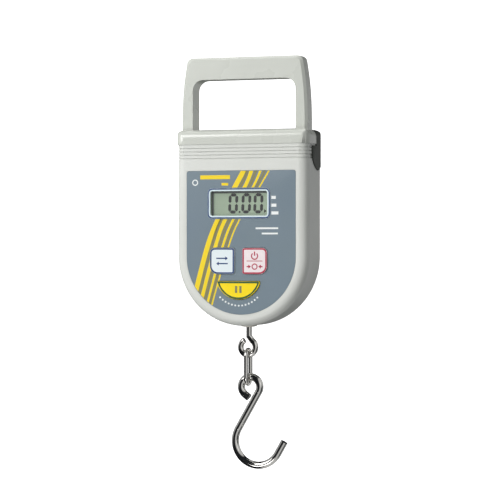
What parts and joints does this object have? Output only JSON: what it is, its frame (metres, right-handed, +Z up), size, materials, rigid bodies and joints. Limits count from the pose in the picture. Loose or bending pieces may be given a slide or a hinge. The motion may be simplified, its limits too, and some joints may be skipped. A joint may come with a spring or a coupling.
{
  "type": "crane scale",
  "caption": "Hand-held hanging scale with a fixed grip handle, round-bottomed housing, digital display, keys and a chain-hung S-hook.",
  "frame": {"origin": "middle of the grip bar's height and width, on the load line", "axes": "+Z up, the display and keys face -Y, +X to the right of someone reading the display"},
  "size_m": [0.0912, 0.0329, 0.2681],
  "materials": {
    "handle": "moulded ABS, fine satin",
    "handle_bolts": "zinc plated",
    "handle_nuts": "zinc plated",
    "front_housing": "moulded ABS, fine satin",
    "rear_housing": "moulded ABS, fine satin",
    "housing_screws": "zinc plated",
    "side_cover_left": "soft dark plastic",
    "side_cover_right": "soft dark plastic",
    "rod_bush": "soft dark plastic",
    "face_label": "printed film",
    "display_bezel": "printed frame",
    "display_window": "clear acrylic",
    "lcd_glass": "reflective display",
    "lcd_holder": "white ABS",
    "zebra_strips": "matte",
    "main_board": "solder mask",
    "board_chips": "moulded epoxy",
    "board_screws": "zinc plated",
    "cable_plug": "nylon",
    "switch_bodies": "moulded nylon",
    "unit_key": "white with a blue rim",
    "tare_key": "pinkish white with a red rim",
    "hold_key": "yellow with a green rim",
    "unit_plunger": "nylon",
    "tare_plunger": "nylon",
    "hold_plunger": "nylon",
    "load_frame": "bent sheet",
    "load_cell": "milled",
    "strain_gauges": "coated foil",
    "cell_spacer": "milled",
    "cell_bolts": "blackened",
    "cell_cable": "sheathed",
    "hook_bracket": "bent sheet",
    "eye_rod": "bright plated",
    "rod_nut": "zinc plated",
    "rod_washer": "zinc plated",
    "chain_link": "bright plated",
    "load_hook": "bright plated",
    "battery": "plain jacket",
    "battery_snap": "vinyl",
    "battery_leads": "insulated wire",
    "battery_door": "moulded ABS, fine satin",
    "battery_foam": "foam"
  },
  "bodies": {
    "housing": {"handle": "handle", "handle_bolts": "handle_bolts", "handle_nuts": "handle_nuts", "front_housing": "front_housing", "rear_housing": "rear_housing", "housing_screws": "housing_screws", "side_cover_left": "side_cover_left", "side_cover_right": "side_cover_right", "rod_bush": "rod_bush", "face_label": "face_label", "display_bezel": "display_bezel", "display_window": "display_window", "lcd_glass": "lcd_glass", "lcd_holder": "lcd_holder", "zebra_strips": "zebra_strips", "main_board": "main_board", "board_chips": "board_chips", "board_screws": "board_screws", "cable_plug": "cable_plug", "switch_bodies": "switch_bodies", "load_frame": "load_frame", "load_cell": "load_cell", "strain_gauges": "strain_gauges", "cell_spacer": "cell_spacer", "cell_bolts": "cell_bolts", "cell_cable": "cell_cable", "hook_bracket": "hook_bracket", "battery": "battery", "battery_snap": "battery_snap", "battery_leads": "battery_leads"},
    "unit_key": {"unit_key": "unit_key", "unit_plunger": "unit_plunger"},
    "tare_key": {"tare_key": "tare_key", "tare_plunger": "tare_plunger"},
    "hold_key": {"hold_key": "hold_key", "hold_plunger": "hold_plunger"},
    "battery_door": {"battery_door": "battery_door", "battery_foam": "battery_foam"},
    "eye_rod": {"eye_rod": "eye_rod", "rod_nut": "rod_nut", "rod_washer": "rod_washer"},
    "chain_link": {"chain_link": "chain_link"},
    "load_hook": {"load_hook": "load_hook"}
  },
  "joints": [
    {"name": "unit_press", "type": "slide", "parent": "housing", "child": "unit_key", "axis": [0, 1, 0], "range_m": [0, 0.0005], "stiffness_N_per_m": 2000, "springref_m": -0.0005},
    {"name": "tare_press", "type": "slide", "parent": "housing", "child": "tare_key", "axis": [0, 1, 0], "range_m": [0, 0.0005], "stiffness_N_per_m": 2000, "springref_m": -0.0005},
    {"name": "hold_press", "type": "slide", "parent": "housing", "child": "hold_key", "axis": [0, 1, 0], "range_m": [0, 0.0005], "stiffness_N_per_m": 2000, "springref_m": -0.0005},
    {"name": "door_swing", "type": "hinge", "parent": "housing", "child": "battery_door", "pos_m": [0, 0.0148, -0.1388], "axis": [-1, 0, 0], "range_deg": [0, 75]},
    {"name": "rod_swivel", "type": "hinge", "parent": "housing", "child": "eye_rod", "pos_m": [0, 0, -0.1816], "axis": [0, 0, 1], "continuous": true},
    {"name": "link_swing", "type": "hinge", "parent": "eye_rod", "child": "chain_link", "pos_m": [-0.0007, 0, -0.1867], "axis": [1, 0, 0], "range_deg": [-80, 80]},
    {"name": "hook_swing", "type": "hinge", "parent": "chain_link", "child": "load_hook", "pos_m": [-0.0007, 0, -0.20555], "axis": [0, 1, 0], "range_deg": [-80, 80]}
  ]
}
